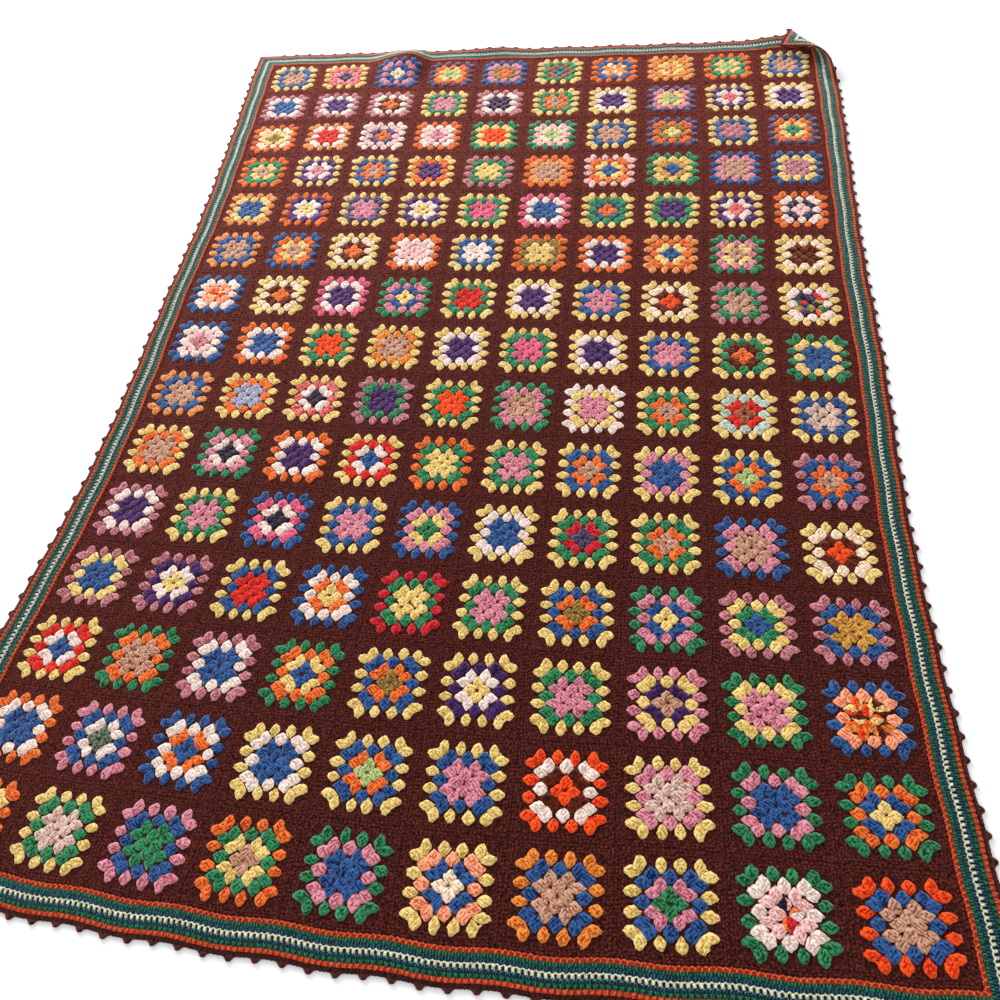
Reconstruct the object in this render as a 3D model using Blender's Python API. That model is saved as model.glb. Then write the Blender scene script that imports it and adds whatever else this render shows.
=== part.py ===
"""Granny square blanket, laid out flat with its far right corner turned over.

It is made the way the real one is: crochet squares joined into a panel, a striped border
worked round the panel, and a dark edging with picots worked round the border.

Every piece is first built flat, in cloth coordinates: u runs across the blanket, v along it
towards its far end, and w is the height above the underside. lay_out() then puts the cloth
where it lies. It drifts a little out of square, it swells where it doesn't lie down, and one
corner is folded over.

Units are metres, +Z is up and +Y is the far end. The origin is under the middle of the box.
"""

import math
from collections import namedtuple

import bmesh
import bpy
import numpy as np
from mathutils import Vector

MILLIMETRE = 0.001

# The panel of joined squares
COLUMNS = 10
ROWS = 15
PITCH = 0.120                    # one square, seam to seam
HALF_WIDTH = COLUMNS * PITCH / 2
HALF_LENGTH = ROWS * PITCH / 2
GAP = 0.0003                     # between pieces that are worked onto each other
MITRE_SET_BACK = GAP / math.sqrt(2)

# One square: a sunk seam, the brown round, and four coloured rounds that stand proud
SEAM_THICK = 0.0028
ROUNDS_FOOT = 0.0500             # half width of the coloured rounds, where they rise
ROUNDS_TOP = 0.0462
ROUNDS_CORNER_CUT = 0.0140
BROWN_THICK = 0.0036
ROUNDS_THICK = 0.0050
EYE_RING = 0.0070                # the hole that the first round is worked into
EYE_THICK = 0.0040

# The border's seven rounds, each a low rib
BORDER_ROUNDS = 7
ROUND_WIDTH = 0.0051
RIB_CREST = 0.0046
RIB_VALLEY = 0.0036

# The edging: one round with four picots to a square
EDGING_THICK = 0.0036
EDGING_WIDTH = 0.0052
PICOTS_PER_SQUARE = 4
PICOT_PITCH = PITCH / PICOTS_PER_SQUARE
PICOT_HEIGHT = 0.0062
PICOT_BASE = 0.0130
CORNER_ROUNDING = 0.0080

# The height at which the cloth bends without stretching
NEUTRAL = 0.0020

# How far the cloth drifts out of square, in millimetres: one row for each station along it,
# from the near end to the far end, with the drift of its left side, middle and right side.
# draw_in is how far the seams halfway to each side are pulled towards the middle.
Station = namedtuple("Station", "v x_left x_middle x_right draw_in y_left y_middle y_right")
DRIFT = (
    Station(-945, -44, -15, 32, -2, 29, -1, 17),
    Station(-630, -15, -5, 10, 0, 14, -3, 2),
    Station(-315, 13, 8, -5, 5, 5, -3, -5),
    Station(0, 13, 7, -2, 2, 2, -1, -4),
    Station(315, 6, 3, -3, -2, 4, 0, 3),
    Station(630, -10, -4, 2, -1, -1, -1, 9),
    Station(945, -28, -6, 2, 0, -16, -12, -5),
)

# Where the cloth stands up from the floor, in millimetres: the crest of each swell, its
# height, and how far it reaches to each side before the cloth lies down again
Swell = namedtuple("Swell", "u v height left right near far")
SWELLS = (
    Swell(-280, 903, 18, 110, 55, 105, 60),
    Swell(-100, 948, 5, 90, 90, 60, 60),
    Swell(535, 948, 9, 110, 80, 100, 60),
)
SWELL_SCORES = (-0.9, -0.55, -0.2, 0.15, 0.5, 0.9)

# The folded corner: its crease meets the far edge and the right edge at these distances
# from the corner, and the cloth rolls over it without being pressed flat
FOLD_FAR_LEG = 0.083
FOLD_RIGHT_LEG = 0.142
FOLD_BULGE = 0.0130               # the crease bows out by this much, nearer its right end
FOLD_BULGE_SKEW = 0.7
FOLD_RADIUS_RIGHT = 0.0180
FOLD_RADIUS_FAR = 0.0135
FOLD_TIP_HEIGHT = 0.0240
FOLD_SCORES = (-27, -21, -15, -9, -3, 3, 9, 15, 21, 27, 33, 39, 52)

Side = namedtuple("Side", "name squares half_run edge along out")
SIDES = (
    Side("far", COLUMNS, HALF_WIDTH, HALF_LENGTH, (1, 0), (0, 1)),
    Side("near", COLUMNS, HALF_WIDTH, HALF_LENGTH, (1, 0), (0, -1)),
    Side("left", ROWS, HALF_LENGTH, HALF_WIDTH, (0, 1), (-1, 0)),
    Side("right", ROWS, HALF_LENGTH, HALF_WIDTH, (0, 1), (1, 0)),
)

BORDER_START = GAP
EDGING_START = GAP + BORDER_ROUNDS * ROUND_WIDTH + GAP
EDGING_END = EDGING_START + EDGING_WIDTH

Finish = namedtuple("Finish", "name colour roughness")
DARK_BROWN_YARN = Finish("dark_brown_yarn", (0.055, 0.020, 0.016, 1.0), 0.95)
BORDER_YARN = Finish("border_yarn", (0.030, 0.210, 0.190, 1.0), 0.95)
EDGING_YARN = Finish("edging_yarn", (0.040, 0.013, 0.010, 1.0), 0.95)


# --- how the cloth lies -------------------------------------------------------------------

def station_curve(column, v):
    """Reads one column of DRIFT at each v, on a smooth curve through the stations."""
    values = np.array([getattr(station, column) for station in DRIFT]) * MILLIMETRE
    last = len(DRIFT) - 1
    spacing = (DRIFT[1].v - DRIFT[0].v) * MILLIMETRE
    place = np.clip((v - DRIFT[0].v * MILLIMETRE) / spacing, 0, last)
    first = np.minimum(place.astype(int), last - 1)
    part = place - first
    before = values[np.maximum(first - 1, 0)]
    start = values[first]
    end = values[first + 1]
    after = values[np.minimum(first + 2, last)]
    return 0.5 * (2 * start + (end - before) * part
                  + (2 * before - 5 * start + 4 * end - after) * part ** 2
                  + (3 * start - before - 3 * end + after) * part ** 3)


def drifted(u, v):
    """Moves cloth coordinates to where they lie on the floor, out of square."""
    side = u / HALF_WIDTH
    left = side * (side - 1) / 2
    middle = 1 - side ** 2
    right = side * (side + 1) / 2
    x = u + sum(weight * station_curve(column, v)
                for weight, column in ((left, "x_left"), (middle, "x_middle"), (right, "x_right")))
    x -= station_curve("draw_in", v) * np.sin(side * math.pi)
    y = v + sum(weight * station_curve(column, v)
                for weight, column in ((left, "y_left"), (middle, "y_middle"), (right, "y_right")))
    return x, y


def swelled(u, v):
    """How high the swells lift the cloth. It is exactly nothing outside their reach."""
    height = np.zeros_like(u)
    for swell in SWELLS:
        across = (u - swell.u * MILLIMETRE) / MILLIMETRE
        along = (v - swell.v * MILLIMETRE) / MILLIMETRE
        across = np.where(across < 0, -across / swell.left, across / swell.right)
        along = np.where(along < 0, -along / swell.near, along / swell.far)
        inside = (across < 1) & (along < 1)
        shape = (np.cos(across * math.pi / 2) * np.cos(along * math.pi / 2)) ** 2
        height += np.where(inside, swell.height * MILLIMETRE * shape, 0.0)
    return height


def fold_frame():
    """The crease's end on the right edge, and its directions across and along."""
    reach = EDGING_END
    right_end = np.array((HALF_WIDTH + reach, HALF_LENGTH + reach - FOLD_RIGHT_LEG))
    length = math.hypot(FOLD_FAR_LEG, FOLD_RIGHT_LEG)
    across = np.array((FOLD_RIGHT_LEG, FOLD_FAR_LEG)) / length
    along = np.array((-FOLD_FAR_LEG, FOLD_RIGHT_LEG)) / length
    return right_end, across, along, length


def folded(u, v):
    """Rolls the far right corner over its crease, and lays its tip on the blanket."""
    right_end, across, along, length = fold_frame()
    from_end_u = u - right_end[0]
    from_end_v = v - right_end[1]
    beyond = from_end_u * across[0] + from_end_v * across[1]
    along_crease = np.clip((from_end_u * along[0] + from_end_v * along[1]) / length, 0, 1)
    radius = FOLD_RADIUS_RIGHT + (FOLD_RADIUS_FAR - FOLD_RADIUS_RIGHT) * along_crease
    beyond = beyond - FOLD_BULGE * np.sin(along_crease ** FOLD_BULGE_SKEW * math.pi) ** 2

    roll_start = -math.pi * radius / 2
    angle = np.clip((beyond - roll_start) / radius, 0, math.pi)
    past_roll = np.maximum(beyond - roll_start - math.pi * radius, 0)
    tip = FOLD_FAR_LEG * FOLD_RIGHT_LEG / length
    settle = np.clip(past_roll / (tip - math.pi * radius / 2), 0, 1)
    settle = settle ** 2 * (3 - 2 * settle)

    rolling = beyond > roll_start
    reach = np.where(rolling, roll_start + radius * np.sin(angle) - past_roll, beyond)
    height = radius * (1 - np.cos(angle))
    height -= settle * (2 * radius - FOLD_TIP_HEIGHT)
    height = np.where(rolling, height, 0.0)
    shift = reach - beyond
    return u + shift * across[0], v + shift * across[1], height


def neutral_surface(u, v):
    """Points of the cloth's bending surface, as an array of positions."""
    lying_u, lying_v, height = folded(u, v)
    x, y = drifted(lying_u, lying_v)
    return np.stack((x, y, NEUTRAL + height + swelled(lying_u, lying_v)), axis=-1)


def lay_out(flat):
    """Puts flat cloth points (u, v, w) where the cloth lies."""
    u, v, w = flat[:, 0], flat[:, 1], flat[:, 2]
    step = 0.0001
    across = neutral_surface(u + step, v) - neutral_surface(u - step, v)
    along = neutral_surface(u, v + step) - neutral_surface(u, v - step)
    normal = np.cross(across, along)
    normal /= np.linalg.norm(normal, axis=1, keepdims=True)
    return neutral_surface(u, v) + normal * (w - NEUTRAL)[:, None]


# --- building flat pieces -----------------------------------------------------------------

class FlatPiece:
    """A closed solid in cloth coordinates, with a top, an underside and walls."""

    def __init__(self, name):
        self.name = name
        self.mesh = bmesh.new()
        self.corners = {}
        self.places = {}

    def corner(self, u, v, w):
        """Returns the vertex at a place, made once."""
        key = (round(u, 7), round(v, 7), round(w, 7))
        if key not in self.corners:
            vert = self.mesh.verts.new((u, v, w))
            self.corners[key] = vert
            self.places[vert] = key
        return self.corners[key]

    def face(self, points):
        """Adds one face through points (u, v, w)."""
        return self.mesh.faces.new([self.corner(*point) for point in points])

    def plate(self, outline, thick):
        """Adds a top face and the same face underneath."""
        self.face([(u, v, thick) for u, v in outline])
        self.face([(u, v, 0.0) for u, v in outline])

    def close_rim(self):
        """Joins the open edges of the top to the underside with walls."""
        top_edges = [edge for edge in self.mesh.edges
                     if edge.is_boundary and min(vert.co.z for vert in edge.verts) > 0]
        for edge in top_edges:
            first, second = (self.places[vert] for vert in edge.verts)
            self.face([first, second, (*second[:2], 0.0), (*first[:2], 0.0)])

    def score(self, place, direction, box=None):
        """Cuts the faces along a line, so that the piece can bend there."""
        faces = self.mesh.faces[:]
        if box is not None:
            faces = [face for face in faces if overlaps(face, box)]
        edges = {edge for face in faces for edge in face.edges}
        verts = {vert for face in faces for vert in face.verts}
        bmesh.ops.bisect_plane(self.mesh, geom=list(verts) + list(edges) + faces, dist=1e-6,
                               plane_co=(*place, 0.0), plane_no=(*direction, 0.0))

    def finish(self, finish):
        """Lays the piece out and makes its object."""
        self.close_rim()
        self.mesh.normal_update()
        bmesh.ops.triangulate(self.mesh, faces=[face for face in self.mesh.faces
                                                if len(face.verts) > 4])
        self.score_folds()
        bmesh.ops.triangulate(self.mesh, faces=self.mesh.faces)
        bmesh.ops.recalc_face_normals(self.mesh, faces=self.mesh.faces)
        data = bpy.data.meshes.new(self.name)
        self.mesh.to_mesh(data)
        self.mesh.free()
        flat = np.empty(len(data.vertices) * 3)
        data.vertices.foreach_get("co", flat)
        data.vertices.foreach_set("co", lay_out(flat.reshape(-1, 3)).ravel())
        data.update()
        data.materials.append(material(finish))
        piece = bpy.data.objects.new(self.name, data)
        bpy.context.scene.collection.objects.link(piece)
        return piece

    def score_folds(self):
        """Scores the lines along which the swells and the folded corner bend."""
        for swell in SWELLS:
            box = (swell.u - swell.left, swell.v - swell.near,
                   swell.u + swell.right, swell.v + swell.far)
            box = [side * MILLIMETRE for side in box]
            for part in SWELL_SCORES:
                reach = swell.left if part < 0 else swell.right
                self.score(((swell.u + part * reach) * MILLIMETRE, 0.0), (1, 0), box)
                if part < 0:
                    self.score((0.0, (swell.v + part * swell.near) * MILLIMETRE), (0, 1), box)
        right_end, across, _, _ = fold_frame()
        for beyond in FOLD_SCORES:
            self.score(right_end + across * beyond * MILLIMETRE, across)


def overlaps(face, box):
    """Whether a face's box overlaps a box (low u, low v, high u, high v)."""
    low_u, low_v, high_u, high_v = box
    across = [vert.co.x for vert in face.verts]
    along = [vert.co.y for vert in face.verts]
    return (max(across) > low_u and min(across) < high_u
            and max(along) > low_v and min(along) < high_v)


def material(finish):
    """Returns the Principled material of a finish."""
    made = bpy.data.materials.get(finish.name)
    if made is None:
        made = bpy.data.materials.new(finish.name)
        made.use_nodes = True
        shader = made.node_tree.nodes["Principled BSDF"]
        shader.inputs["Base Color"].default_value = finish.colour
        shader.inputs["Roughness"].default_value = finish.roughness
        shader.inputs["Metallic"].default_value = 0.0
        made.diffuse_color = finish.colour
    return made


# --- the pieces ---------------------------------------------------------------------------

def cut_square(half, cut):
    """The eight corners of a square whose corners are cut off, anticlockwise."""
    near = half - cut
    return [(near, half), (-near, half), (-half, near), (-half, -near),
            (-near, -half), (near, -half), (half, -near), (half, near)]


def add_square(piece, middle, half_across, half_along):
    """Adds one crochet square: seam, brown round, coloured rounds and their eye."""
    def ring(points, thick):
        return [(middle[0] + u, middle[1] + v, thick) for u, v in points]

    rim_points = [(half_across, half_along), (-half_across, half_along),
                  (-half_across, -half_along), (half_across, -half_along)]
    rim = ring(rim_points, SEAM_THICK)
    foot = ring(cut_square(ROUNDS_FOOT, ROUNDS_CORNER_CUT), BROWN_THICK)
    top = ring(cut_square(ROUNDS_TOP, ROUNDS_CORNER_CUT), ROUNDS_THICK)
    eye_points = [(0, EYE_RING), (-EYE_RING, 0), (0, -EYE_RING), (EYE_RING, 0)]
    eye = ring(eye_points, ROUNDS_THICK)
    centre = (*middle, EYE_THICK)

    for side in range(4):
        after = (side + 1) % 4
        first = 2 * side
        second = first + 1
        third = (first + 2) % 8
        piece.face([rim[side], rim[after], foot[second], foot[first]])
        piece.face([rim[after], foot[third], foot[second]])
        piece.face([foot[first], foot[second], top[second], top[first]])
        piece.face([foot[second], foot[third], top[third], top[second]])
        piece.face([top[first], top[second], eye[side]])
        piece.face([top[second], top[third], eye[after], eye[side]])
        piece.face([eye[side], eye[after], centre])
    piece.face([(u, v, 0.0) for u, v, _ in rim])


def square_row(number):
    """One row of joined squares. Row 1 is at the far end."""
    piece = FlatPiece(f"square_row_{number:02d}")
    v = HALF_LENGTH - (number - 0.5) * PITCH
    for column in range(COLUMNS):
        u = -HALF_WIDTH + (column + 0.5) * PITCH
        add_square(piece, (u, v), PITCH / 2, (PITCH - GAP) / 2)
    return piece.finish(DARK_BROWN_YARN)


def on_side(side, run, out):
    """Cloth coordinates of a place on a side, from its run along it and its way out."""
    out += side.edge
    return (side.along[0] * run + side.out[0] * out, side.along[1] * run + side.out[1] * out)


def station_run(side, number, out):
    """Where a seam's line, or the mitre at either end, crosses a round of the border."""
    if 0 < number < side.squares:
        return -side.half_run + number * PITCH
    mitre = side.half_run + out - MITRE_SET_BACK
    return -mitre if number == 0 else mitre


def border_side(side):
    """One mitred side of the border: seven ribs, flat underneath."""
    piece = FlatPiece(f"border_{side.name}")
    profile = []
    for step in range(2 * BORDER_ROUNDS + 1):
        out = BORDER_START + step * ROUND_WIDTH / 2
        profile.append((out, RIB_CREST if step % 2 else RIB_VALLEY))

    def line(number, steps):
        return [(*on_side(side, station_run(side, number, out), out), w) for out, w in steps]

    flat_profile = [(profile[step][0], 0.0) for step in (0, 4, 10, -1)]
    for number in range(side.squares):
        tops = line(number, profile), line(number + 1, profile)
        for step in range(len(profile) - 1):
            piece.face([tops[0][step], tops[1][step], tops[1][step + 1], tops[0][step + 1]])
        unders = line(number, flat_profile), line(number + 1, flat_profile)
        for step in range(len(flat_profile) - 1):
            piece.face([unders[0][step], unders[1][step], unders[1][step + 1],
                        unders[0][step + 1]])
    for number in (0, side.squares):
        piece.face(line(number, profile) + line(number, flat_profile)[::-1])
    return piece.finish(BORDER_YARN)


def edging_side(side):
    """One mitred side of the dark edging, with its picots."""
    piece = FlatPiece(f"edging_{side.name}")
    mitre_end = EDGING_END - CORNER_ROUNDING / 2

    def picot(run):
        return [(run - PICOT_BASE / 2, EDGING_END), (run, EDGING_END + PICOT_HEIGHT),
                (run + PICOT_BASE / 2, EDGING_END)]

    for number in range(side.squares):
        start = -side.half_run + number * PITCH
        picots = [start + (index + 0.5) * PICOT_PITCH for index in range(PICOTS_PER_SQUARE)]
        if number == 0:
            picots.insert(0, picots[0] - PICOT_PITCH)
            corner = side.half_run + EDGING_END - CORNER_ROUNDING
            left = [(station_run(side, 0, EDGING_START), EDGING_START),
                    (station_run(side, 0, mitre_end), mitre_end), (-corner, EDGING_END)]
        else:
            left = [(start, EDGING_START), (start, EDGING_END)]
        if number == side.squares - 1:
            picots.append(picots[-1] + PICOT_PITCH)
            corner = side.half_run + EDGING_END - CORNER_ROUNDING
            right = [(corner, EDGING_END), (station_run(side, side.squares, mitre_end), mitre_end),
                     (station_run(side, side.squares, EDGING_START), EDGING_START)]
        else:
            right = [(start + PITCH, EDGING_END), (start + PITCH, EDGING_START)]
        outline = left + [point for run in picots for point in picot(run)] + right
        piece.plate([on_side(side, run, out) for run, out in outline], EDGING_THICK)
    return piece.finish(EDGING_YARN)


def centre_on_origin(pieces):
    """Parents the pieces to one empty that puts the middle of their box over the origin."""
    points = np.array([vert.co for piece in pieces for vert in piece.data.vertices])
    middle = (points.min(axis=0) + points.max(axis=0)) / 2
    blanket = bpy.data.objects.new("blanket", None)
    blanket.location = Vector((-middle[0], -middle[1], 0.0))
    bpy.context.scene.collection.objects.link(blanket)
    for piece in pieces:
        piece.parent = blanket


def main():
    """Builds the blanket in an empty scene."""
    for thing in list(bpy.data.objects):
        bpy.data.objects.remove(thing)
    pieces = [square_row(number) for number in range(1, ROWS + 1)]
    pieces += [border_side(side) for side in SIDES]
    pieces += [edging_side(side) for side in SIDES]
    centre_on_origin(pieces)


main()
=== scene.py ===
"""Granny square blanket: its crochet, its yarns and the studio it lies in.

The blanket is worked flat, in cloth coordinates: u runs across it, v along it towards its far
end, and w is the height above its underside. ClothLay then puts every stitch where the cloth
lies, with the same drift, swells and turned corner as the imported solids, and a few small tugs.

Lengths in tables and stitch sizes are in millimetres where their names or docstrings say so,
and in metres everywhere else.
"""

import logging
import math
from collections.abc import Mapping, Sequence
from dataclasses import dataclass, field
from enum import Enum

import bpy
import numpy as np
from mathutils import Matrix
from numpy.typing import NDArray


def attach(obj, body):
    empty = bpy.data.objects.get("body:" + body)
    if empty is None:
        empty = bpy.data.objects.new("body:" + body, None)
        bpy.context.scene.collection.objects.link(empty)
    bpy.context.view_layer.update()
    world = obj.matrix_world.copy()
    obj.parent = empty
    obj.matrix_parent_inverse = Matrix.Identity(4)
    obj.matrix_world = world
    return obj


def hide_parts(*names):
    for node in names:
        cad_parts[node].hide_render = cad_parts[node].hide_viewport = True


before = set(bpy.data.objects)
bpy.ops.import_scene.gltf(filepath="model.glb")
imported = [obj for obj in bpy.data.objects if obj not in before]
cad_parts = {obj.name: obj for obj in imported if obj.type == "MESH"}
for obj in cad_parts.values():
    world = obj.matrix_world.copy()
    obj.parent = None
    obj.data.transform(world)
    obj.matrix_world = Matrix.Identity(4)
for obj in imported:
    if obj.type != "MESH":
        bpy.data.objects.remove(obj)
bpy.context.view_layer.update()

LOG = logging.getLogger("blanket")
Array = NDArray[np.float64]
Numbers = NDArray[np.int64]
Finishes = Mapping["Yarn", bpy.types.Material]
MILLIMETRE = 0.001
BODY = "root"

# The panel of joined squares, and where its middle lies from the middle of the whole box
COLUMNS = 10
ROWS = 15
PITCH = 0.120
HALF_WIDTH = COLUMNS * PITCH / 2
HALF_LENGTH = ROWS * PITCH / 2
OFF_CENTRE = (0.004388, 0.003706)

# The border and the edging, measured outwards from the panel
GAP = 0.0003
BORDER_ROUNDS = 7
ROUND_WIDTH = 0.0051
EDGING_START = GAP + BORDER_ROUNDS * ROUND_WIDTH + GAP
EDGING_WIDTH = 0.0052
EDGING_END = EDGING_START + EDGING_WIDTH
PICOT_PITCH = 0.030


# ---------- the cloth's lay


@dataclass(frozen=True)
class Station:
    """How far the cloth lies out of square at one place along it, in millimetres."""

    v: float
    x_left: float
    x_middle: float
    x_right: float
    draw_in: float
    y_left: float
    y_middle: float
    y_right: float


@dataclass(frozen=True)
class Swell:
    """One place where the cloth doesn't lie down, in millimetres."""

    u: float
    v: float
    height: float
    left: float
    right: float
    near: float
    far: float


@dataclass(frozen=True)
class Tug:
    """One place where the cloth is tugged out of line, in millimetres."""

    u: float
    v: float
    reach_u: float
    reach_v: float
    x: float
    y: float


DRIFT = (
    Station(-945, -44, -15, 32, -2, 29, -1, 17),
    Station(-630, -15, -5, 10, 0, 14, -3, 2),
    Station(-315, 13, 8, -5, 5, 5, -3, -5),
    Station(0, 13, 7, -2, 2, 2, -1, -4),
    Station(315, 6, 3, -3, -2, 4, 0, 3),
    Station(630, -10, -4, 2, -1, -1, -1, 9),
    Station(945, -28, -6, 2, 0, -16, -12, -5),
)

SWELLS = (
    Swell(-280, 903, 18, 110, 55, 105, 60),
    Swell(-100, 948, 5, 90, 90, 60, 60),
    Swell(535, 948, 9, 110, 80, 100, 60),
)

TUGS = (
    Tug(-330, 540, 340, 400, 0.0, 6.0),
    Tug(-600, 700, 160, 340, 0.0, -5.0),
    Tug(360, 520, 200, 340, 5.0, 3.0),
    Tug(340, -800, 260, 440, 0.0, 5.5),
    Tug(100, -500, 160, 260, -4.5, 2.0),
    Tug(500, 180, 200, 180, -5.0, 0.0),
    Tug(-580, 120, 160, 240, -5.5, 0.0),
    Tug(-380, -300, 260, 180, -3.5, 0.0),
    Tug(70, 110, 130, 200, -3.5, 2.5),
)


def hump(across: Array, along: Array) -> Array:
    """Gives a smooth hump.

    Args:
        across: How far off its middle each place is, as a share of its reach.
        along: The same in the other direction.

    Returns:
        Its height: 1 in the middle, and 0 where either share is 1 or more.
    """
    inside = (across < 1) & (along < 1)
    height = (np.cos(across * math.pi / 2) * np.cos(along * math.pi / 2)) ** 2
    return np.where(inside, height, 0.0)


@dataclass(frozen=True)
class ClothLay:
    """Where the cloth lies: out of square, with swells and tugs, one corner turned over."""

    neutral: float = 0.0020
    fold_far_leg: float = 0.083
    fold_right_leg: float = 0.142
    fold_bulge: float = 0.0130
    fold_bulge_skew: float = 0.7
    fold_radius_right: float = 0.0180
    fold_radius_far: float = 0.0135
    fold_tip_height: float = 0.0240
    drawn_in_at_seams: float = 0.0016
    drawn_in_on_sides: float = 0.0008
    drawn_in_from: float = 0.05

    def station_curve(self, column: str, v: Array) -> Array:
        """Reads one column of DRIFT as a smooth curve.

        Args:
            column: The name of the Station field.
            v: Places along the cloth.

        Returns:
            The column's value at each place, in metres.
        """
        values = np.array([getattr(station, column) for station in DRIFT]) * MILLIMETRE
        last = len(DRIFT) - 1
        spacing = (DRIFT[1].v - DRIFT[0].v) * MILLIMETRE
        place = np.clip((v - DRIFT[0].v * MILLIMETRE) / spacing, 0, last)
        first = np.minimum(place.astype(int), last - 1)
        part = place - first
        before = values[np.maximum(first - 1, 0)]
        start = values[first]
        end = values[first + 1]
        after = values[np.minimum(first + 2, last)]
        return 0.5 * (
            2 * start
            + (end - before) * part
            + (2 * before - 5 * start + 4 * end - after) * part**2
            + (3 * start - before - 3 * end + after) * part**3
        )

    def drawn_in(self, u: Array, v: Array) -> tuple[Array, Array]:
        """Draws the border in at each seam, where two squares' corners pull on it.

        Args:
            u: Places across the flat cloth.
            v: Places along it.

        Returns:
            Where those places come to.
        """
        near_end = np.clip((np.abs(v) - HALF_LENGTH) / self.drawn_in_from + 1, 0, 1)
        near_side = np.clip((np.abs(u) - HALF_WIDTH) / self.drawn_in_from + 1, 0, 1)
        end_wave = np.cos(2 * math.pi * u / PITCH)
        side_wave = np.cos(2 * math.pi * (v - HALF_LENGTH) / PITCH)
        fade = 1 - np.minimum(near_end, near_side)
        shift_v = self.drawn_in_at_seams * end_wave * near_end**2 * fade
        shift_u = self.drawn_in_on_sides * side_wave * near_side**2 * fade
        return u - np.sign(u) * shift_u, v - np.sign(v) * shift_v

    def drifted(self, u: Array, v: Array) -> tuple[Array, Array]:
        """Moves flat cloth out of square and out of line, as it lies.

        Args:
            u: Places across the cloth.
            v: Places along it.

        Returns:
            Their x and y.
        """
        side = u / HALF_WIDTH
        x = u - self.station_curve("draw_in", v) * np.sin(side * math.pi)
        y = v
        for name, share in (
            ("left", side * (side - 1) / 2),
            ("middle", 1 - side**2),
            ("right", side * (side + 1) / 2),
        ):
            x = x + share * self.station_curve(f"x_{name}", v)
            y = y + share * self.station_curve(f"y_{name}", v)
        for tug in TUGS:
            share = hump(
                np.abs(u / MILLIMETRE - tug.u) / tug.reach_u,
                np.abs(v / MILLIMETRE - tug.v) / tug.reach_v,
            )
            x = x + share * tug.x * MILLIMETRE
            y = y + share * tug.y * MILLIMETRE
        return x, y

    def swelled(self, u: Array, v: Array) -> Array:
        """Lifts the cloth off the floor where it swells.

        Args:
            u: Places across the cloth.
            v: Places along it.

        Returns:
            How far each is lifted.
        """
        height = np.zeros_like(u)
        for swell in SWELLS:
            off_u = u / MILLIMETRE - swell.u
            off_v = v / MILLIMETRE - swell.v
            across = np.abs(off_u) / np.where(off_u < 0, swell.left, swell.right)
            along = np.abs(off_v) / np.where(off_v < 0, swell.near, swell.far)
            height += swell.height * MILLIMETRE * hump(across, along)
        return height

    def folded(self, u: Array, v: Array) -> tuple[Array, Array, Array]:
        """Turns the far right corner over its slanted crease.

        Args:
            u: Places across the flat cloth.
            v: Places along it.

        Returns:
            Where those places lie across and along, and their height.
        """
        right_end_u = HALF_WIDTH + EDGING_END
        right_end_v = HALF_LENGTH + EDGING_END - self.fold_right_leg
        length = math.hypot(self.fold_far_leg, self.fold_right_leg)
        across = (self.fold_right_leg / length, self.fold_far_leg / length)
        along = (-across[1], across[0])
        off_u = u - right_end_u
        off_v = v - right_end_v
        beyond = off_u * across[0] + off_v * across[1]
        along_crease = np.clip((off_u * along[0] + off_v * along[1]) / length, 0, 1)
        radius = self.fold_radius_right
        radius = radius + (self.fold_radius_far - radius) * along_crease
        bulge = np.sin(along_crease**self.fold_bulge_skew * math.pi) ** 2
        beyond = beyond - self.fold_bulge * bulge
        roll_start = -math.pi * radius / 2
        angle = np.clip((beyond - roll_start) / radius, 0, math.pi)
        past_roll = np.maximum(beyond - roll_start - math.pi * radius, 0)
        tip = self.fold_far_leg * self.fold_right_leg / length
        settle = np.clip(past_roll / (tip - math.pi * radius / 2), 0, 1)
        settle = settle**2 * (3 - 2 * settle)
        rolling = beyond > roll_start
        reach = roll_start + radius * np.sin(angle) - past_roll
        height = radius * (1 - np.cos(angle))
        height -= settle * (2 * radius - self.fold_tip_height)
        shift = np.where(rolling, reach - beyond, 0.0)
        return u + shift * across[0], v + shift * across[1], np.where(rolling, height, 0.0)

    def surface(self, u: Array, v: Array) -> Array:
        """Gives the points of the cloth's unstretched middle layer.

        Args:
            u: Places across the flat cloth.
            v: Places along it.

        Returns:
            One row of x, y and z for each place.
        """
        worked_u, worked_v = self.drawn_in(u, v)
        lying_u, lying_v, height = self.folded(worked_u, worked_v)
        x, y = self.drifted(lying_u, lying_v)
        z = self.neutral + height + self.swelled(lying_u, lying_v)
        return np.stack([x + OFF_CENTRE[0], y + OFF_CENTRE[1], z], axis=1)

    def lay(self, flat: Array) -> Array:
        """Puts points of the flat cloth where they lie.

        Args:
            flat: One row of u, v and w for each point.

        Returns:
            One row of x, y and z for each point.
        """
        u, v, w = flat.T
        step = 0.1 * MILLIMETRE
        across = self.surface(u + step, v) - self.surface(u - step, v)
        along = self.surface(u, v + step) - self.surface(u, v - step)
        normal = np.cross(across, along)
        normal /= np.linalg.norm(normal, axis=1)[:, None]
        return self.surface(u, v) + normal * (w - self.neutral)[:, None]


# ---------- yarns and finishes


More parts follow.
